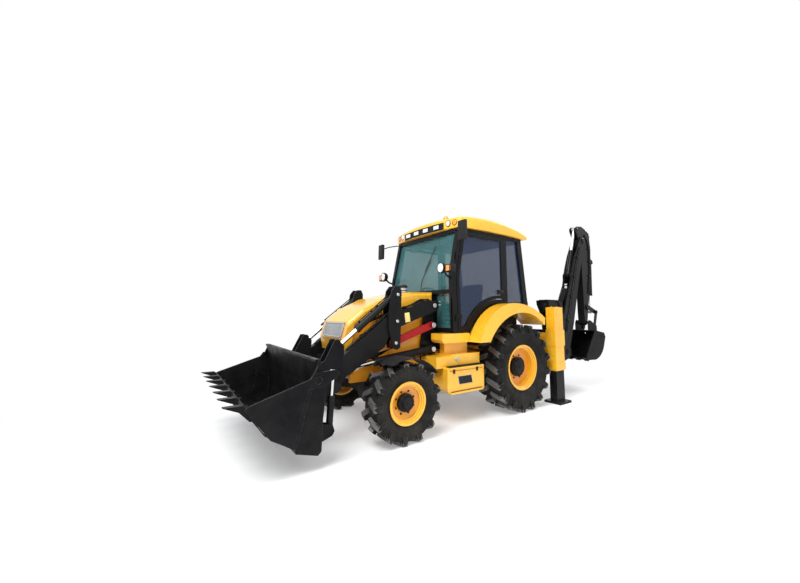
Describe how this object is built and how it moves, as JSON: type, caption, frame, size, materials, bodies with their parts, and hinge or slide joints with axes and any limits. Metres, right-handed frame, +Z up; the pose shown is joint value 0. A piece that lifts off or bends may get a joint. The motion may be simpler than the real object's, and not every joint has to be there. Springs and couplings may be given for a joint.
{
  "type": "backhoe loader",
  "caption": "Wheeled digger-loader with a two-piece front bucket on lifting arms, a cab, rear stabilisers and a folded digging arm on a sideshift carriage.",
  "frame": {"origin": "the point of the ground straight below the middle of the rear axle", "axes": "+X forward to the loader bucket, +Y to the machine's left, +Z up"},
  "size_m": [6.9708, 2.5, 3.372],
  "materials": {
    "yellow_paint": "gloss",
    "black_paint": "satin",
    "red_paint": "gloss",
    "roof_plastic": "gloss",
    "dark_plastic": "matte",
    "tinted_glass": "gloss",
    "tyre_rubber": "matte",
    "rod_chrome": "polished",
    "iron": "rough",
    "seat_fabric": "matte"
  },
  "bodies": {
    "chassis": {"main_frame": "yellow_paint", "loader_towers": "black_paint", "rear_axle": "iron", "front_axle": "iron", "engine_block": "iron", "engine_sides": "dark_plastic", "grille": "dark_plastic", "cab_frame": "black_paint", "cab_glass": "tinted_glass", "cab_roof": "roof_plastic", "rear_fenders": "yellow_paint", "side_boxes": "yellow_paint", "seat": "seat_fabric", "steering": "dark_plastic", "rear_frame": "yellow_paint", "lamps": "dark_plastic", "mirrors": "dark_plastic"},
    "steering_left": {"knuckle_left": "black_paint"},
    "steering_right": {"knuckle_right": "black_paint"},
    "wheel_front_left": {"tyre_front_left": "tyre_rubber", "rim_front_left": "yellow_paint"},
    "wheel_front_right": {"tyre_front_right": "tyre_rubber", "rim_front_right": "yellow_paint"},
    "wheel_rear_left": {"tyre_rear_left": "tyre_rubber", "rim_rear_left": "yellow_paint"},
    "wheel_rear_right": {"tyre_rear_right": "tyre_rubber", "rim_rear_right": "yellow_paint"},
    "loader_arm": {"loader_arm": "yellow_paint"},
    "bell_cranks": {"bell_cranks": "black_paint"},
    "levelling_links": {"levelling_links": "red_paint"},
    "arm_end_pins": {"arm_end_pins": "rod_chrome"},
    "loader_bucket": {"loader_bucket": "black_paint", "clam_barrel": "black_paint"},
    "jaw": {"bucket_jaw": "black_paint"},
    "clam_rods": {"clam_rod": "rod_chrome"},
    "lift_barrels": {"lift_barrel": "black_paint"},
    "lift_rods": {"lift_rod": "rod_chrome"},
    "tilt_barrels": {"tilt_barrel": "black_paint"},
    "tilt_rods": {"tilt_rod": "rod_chrome"},
    "hood": {"hood": "yellow_paint"},
    "door_left": {"door_left": "black_paint", "door_glass_left": "tinted_glass"},
    "door_right": {"door_right": "black_paint", "door_glass_right": "tinted_glass"},
    "stabiliser_left": {"stabiliser_left": "black_paint"},
    "stabiliser_right": {"stabiliser_right": "black_paint"},
    "carriage": {"carriage": "yellow_paint"},
    "kingpost": {"kingpost": "yellow_paint"},
    "boom": {"boom": "black_paint"},
    "boom_barrel": {"boom_barrel": "black_paint"},
    "boom_rod": {"boom_rod": "rod_chrome"},
    "dipper": {"dipper": "black_paint"},
    "dipper_barrel": {"dipper_barrel": "black_paint"},
    "dipper_rod": {"dipper_rod": "rod_chrome"},
    "tipping_lever": {"tipping_lever": "black_paint"},
    "tipping_link": {"tipping_link": "black_paint"},
    "bucket_barrel": {"bucket_barrel": "black_paint"},
    "bucket_rod": {"bucket_rod": "rod_chrome"},
    "digger_bucket": {"digger_bucket": "black_paint"}
  },
  "joints": [
    {"name": "steer_left", "type": "hinge", "parent": "chassis", "child": "steering_left", "pos_m": [2.153, 0.715, 0.46], "axis": [0, 0, 1], "range_deg": [-28, 28]},
    {"name": "roll_front_left", "type": "hinge", "parent": "steering_left", "child": "wheel_front_left", "pos_m": [2.153, 0.9675, 0.46], "axis": [0, 1, 0], "continuous": true},
    {"name": "roll_rear_left", "type": "hinge", "parent": "chassis", "child": "wheel_rear_left", "pos_m": [0, 0.8675, 0.661], "axis": [0, 1, 0], "continuous": true},
    {"name": "steer_right", "type": "hinge", "parent": "chassis", "child": "steering_right", "pos_m": [2.153, -0.715, 0.46], "axis": [0, 0, 1], "range_deg": [-28, 28]},
    {"name": "roll_front_right", "type": "hinge", "parent": "steering_right", "child": "wheel_front_right", "pos_m": [2.153, -0.9675, 0.46], "axis": [0, 1, 0], "continuous": true},
    {"name": "roll_rear_right", "type": "hinge", "parent": "chassis", "child": "wheel_rear_right", "pos_m": [0, -0.8675, 0.661], "axis": [0, 1, 0], "continuous": true},
    {"name": "loader_lift", "type": "hinge", "parent": "chassis", "child": "loader_arm", "pos_m": [1.44, 0, 1.615], "axis": [0, -1, 0], "range_deg": [-3.5, 80]},
    {"name": "bell_crank_turn", "type": "hinge", "parent": "loader_arm", "child": "bell_cranks", "pos_m": [2.07, 0, 1.4], "axis": [0, -1, 0], "range_deg": [-80, 3.5]},
    {"name": "levelling_turn", "type": "hinge", "parent": "chassis", "child": "levelling_links", "pos_m": [1.455, 0, 1.335], "axis": [0, -1, 0], "range_deg": [-3.5, 80]},
    {"name": "arm_end_turn", "type": "hinge", "parent": "loader_arm", "child": "arm_end_pins", "pos_m": [2.866, 0, 0.665], "axis": [0, -1, 0], "range_deg": [-61.33, 2.68]},
    {"name": "bucket_tilt", "type": "hinge", "parent": "arm_end_pins", "child": "loader_bucket", "pos_m": [2.866, 0, 0.665], "axis": [0, 1, 0], "range_deg": [0, 60]},
    {"name": "tilt_barrel_turn", "type": "hinge", "parent": "bell_cranks", "child": "tilt_barrels", "pos_m": [2.068, 0, 1.75], "axis": [0, -1, 0], "range_deg": [-3.77, 86.22]},
    {"name": "tilt_rod_slide", "type": "slide", "parent": "tilt_barrels", "child": "tilt_rods", "axis": [0.7667, 0, -0.642], "range_m": [0, 0.43851]},
    {"name": "lift_barrel_turn", "type": "hinge", "parent": "chassis", "child": "lift_barrels", "pos_m": [1.455, 0, 1], "axis": [0, -1, 0], "range_deg": [-2.94, 67.19]},
    {"name": "lift_rod_slide", "type": "slide", "parent": "lift_barrels", "child": "lift_rods", "axis": [0.9926, 0, -0.1218], "range_m": [-0.0316, 0.72017]},
    {"name": "jaw_open", "type": "hinge", "parent": "loader_bucket", "child": "jaw", "pos_m": [3.237, 0, 0.855], "axis": [0, -1, 0], "range_deg": [0, 45]},
    {"name": "clam_rod_slide", "type": "slide", "parent": "loader_bucket", "child": "clam_rods", "axis": [-0.0288, 0, 0.9996], "range_m": [-0.13724, 0]},
    {"name": "hood_open", "type": "hinge", "parent": "chassis", "child": "hood", "pos_m": [1.318, 0, 1.79], "axis": [0, 1, 0], "range_deg": [-40, 0]},
    {"name": "door_left_open", "type": "hinge", "parent": "chassis", "child": "door_left", "pos_m": [1.2, 0.862, 2], "axis": [0, 0, -1], "range_deg": [0, 80]},
    {"name": "door_right_open", "type": "hinge", "parent": "chassis", "child": "door_right", "pos_m": [1.2, -0.862, 2], "axis": [0, 0, 1], "range_deg": [0, 80]},
    {"name": "stabiliser_left_lift", "type": "slide", "parent": "chassis", "child": "stabiliser_left", "axis": [0, 0, 1], "range_m": [0, 0.42]},
    {"name": "stabiliser_right_lift", "type": "slide", "parent": "chassis", "child": "stabiliser_right", "axis": [0, 0, 1], "range_m": [0, 0.42]},
    {"name": "sideshift", "type": "slide", "parent": "chassis", "child": "carriage", "axis": [0, 1, 0], "range_m": [-1.32, 0]},
    {"name": "swing", "type": "hinge", "parent": "carriage", "child": "kingpost", "pos_m": [-1.31, 0.66, 0.84], "axis": [0, 0, 1], "range_deg": [-80, 80]},
    {"name": "boom_lower", "type": "hinge", "parent": "kingpost", "child": "boom", "pos_m": [-1.68, 0.66, 0.76], "axis": [0, -1, 0], "range_deg": [0, 95]},
    {"name": "boom_barrel_turn", "type": "hinge", "parent": "kingpost", "child": "boom_barrel", "pos_m": [-1.327, 0.66, 1.245], "axis": [0, -1, 0], "range_deg": [0, 80.55]},
    {"name": "boom_rod_slide", "type": "slide", "parent": "boom_barrel", "child": "boom_rod", "axis": [-0.6134, 0, 0.7898], "range_m": [0, 0.81363]},
    {"name": "dipper_out", "type": "hinge", "parent": "boom", "child": "dipper", "pos_m": [-2.5, 0.66, 3.05], "axis": [0, 1, 0], "range_deg": [0, 105]},
    {"name": "dipper_barrel_turn", "type": "hinge", "parent": "boom", "child": "dipper_barrel", "pos_m": [-2.02, 0.66, 2.27], "axis": [0, -1, 0], "range_deg": [0, 10.57]},
    {"name": "dipper_rod_slide", "type": "slide", "parent": "dipper_barrel", "child": "dipper_rod", "axis": [-0.2947, 0, 0.9556], "range_m": [-0.43509, 0]},
    {"name": "scoop_turn", "type": "hinge", "parent": "dipper", "child": "digger_bucket", "pos_m": [-2.5, 0.66, 1.3], "axis": [0, 1, 0], "range_deg": [0, 100]},
    {"name": "tipping_lever_turn", "type": "hinge", "parent": "dipper", "child": "tipping_lever", "pos_m": [-2.56, 0.66, 1.62], "axis": [0, 1, 0], "range_deg": [0, 66.23]},
    {"name": "tipping_link_turn", "type": "hinge", "parent": "tipping_lever", "child": "tipping_link", "pos_m": [-2.84, 0.66, 1.52], "axis": [0, 1, 0], "range_deg": [-83.45, 0]},
    {"name": "bucket_barrel_turn", "type": "hinge", "parent": "dipper", "child": "bucket_barrel", "pos_m": [-2.9, 0.66, 2.6], "axis": [0, -1, 0], "range_deg": [0, 6.89]},
    {"name": "bucket_rod_slide", "type": "slide", "parent": "bucket_barrel", "child": "bucket_rod", "axis": [0.0555, 0, -0.9985], "range_m": [-0.30576, 0]}
  ],
  "couplings": [
    {"joint": "steer_right", "follows": "steer_left", "ratio": 1},
    {"joint": "bell_crank_turn", "follows": "loader_lift", "ratio": -1},
    {"joint": "levelling_turn", "follows": "loader_lift", "ratio": 1},
    {"joint": "arm_end_turn", "follows": "loader_lift", "ratio": -0.76663},
    {"joint": "tilt_barrel_turn", "follows": "loader_lift", "ratio": 1.0777},
    {"joint": "tilt_rod_slide", "follows": "bucket_tilt", "m_per_rad": 0.41874},
    {"joint": "lift_barrel_turn", "follows": "loader_lift", "ratio": 0.83989},
    {"joint": "lift_rod_slide", "follows": "loader_lift", "m_per_rad": 0.51571},
    {"joint": "clam_rod_slide", "follows": "jaw_open", "m_per_rad": -0.17461},
    {"joint": "boom_barrel_turn", "follows": "boom_lower", "ratio": 0.84785},
    {"joint": "boom_rod_slide", "follows": "boom_lower", "m_per_rad": 0.49065},
    {"joint": "dipper_barrel_turn", "follows": "dipper_out", "ratio": 0.10062},
    {"joint": "dipper_rod_slide", "follows": "dipper_out", "m_per_rad": -0.23736},
    {"joint": "tipping_lever_turn", "follows": "scoop_turn", "ratio": 0.6623},
    {"joint": "tipping_link_turn", "follows": "scoop_turn", "ratio": -0.83449},
    {"joint": "bucket_barrel_turn", "follows": "scoop_turn", "ratio": 0.068856},
    {"joint": "bucket_rod_slide", "follows": "scoop_turn", "m_per_rad": -0.17513}
  ]
}
